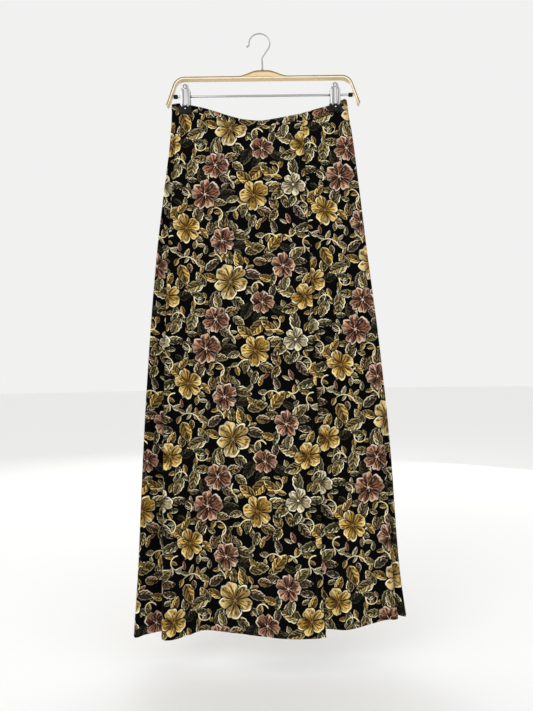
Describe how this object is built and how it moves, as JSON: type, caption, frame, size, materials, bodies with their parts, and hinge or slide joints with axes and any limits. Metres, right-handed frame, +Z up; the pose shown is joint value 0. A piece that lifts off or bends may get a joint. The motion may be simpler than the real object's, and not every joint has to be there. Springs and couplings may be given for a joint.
{
  "type": "wrap maxi skirt on a clip hanger",
  "caption": "Long wrap skirt with a floral print and a narrow gathered waistband, hung flat from the clips of a bent wooden hanger with a wire hook.",
  "frame": {"origin": "the inside of the hanger's hook at its top, where a rail carries it", "axes": "+Z up, the skirt's front faces -Y, +X to the right as seen from the front"},
  "size_m": [0.4932, 0.0596, 1.1286],
  "materials": {
    "printed_cloth": "crinkled viscose with a floral print on black",
    "waistband_cloth": "the same printed cloth in a folded band",
    "pale_wood": "clear satin lacquer on bent laminated wood",
    "hook_steel": "satin",
    "chrome": "polished",
    "black_rubber": "matte"
  },
  "bodies": {
    "root": {"front_over_wrap": "printed_cloth", "front_under_wrap": "printed_cloth", "back_panel": "printed_cloth", "waistband_over": "waistband_cloth", "waistband_under": "waistband_cloth", "waistband_back": "waistband_cloth", "hanger_hook": "hook_steel", "hanger_bar": "pale_wood", "hanger_rod": "chrome", "rod_cap_left": "black_rubber", "rod_cap_right": "black_rubber", "clip_left_front": "chrome", "clip_left_back": "chrome", "clip_right_front": "chrome", "clip_right_back": "chrome", "clip_left_jaw_front": "black_rubber", "clip_left_jaw_back": "black_rubber", "clip_right_jaw_front": "black_rubber", "clip_right_jaw_back": "black_rubber"}
  },
  "joints": []
}
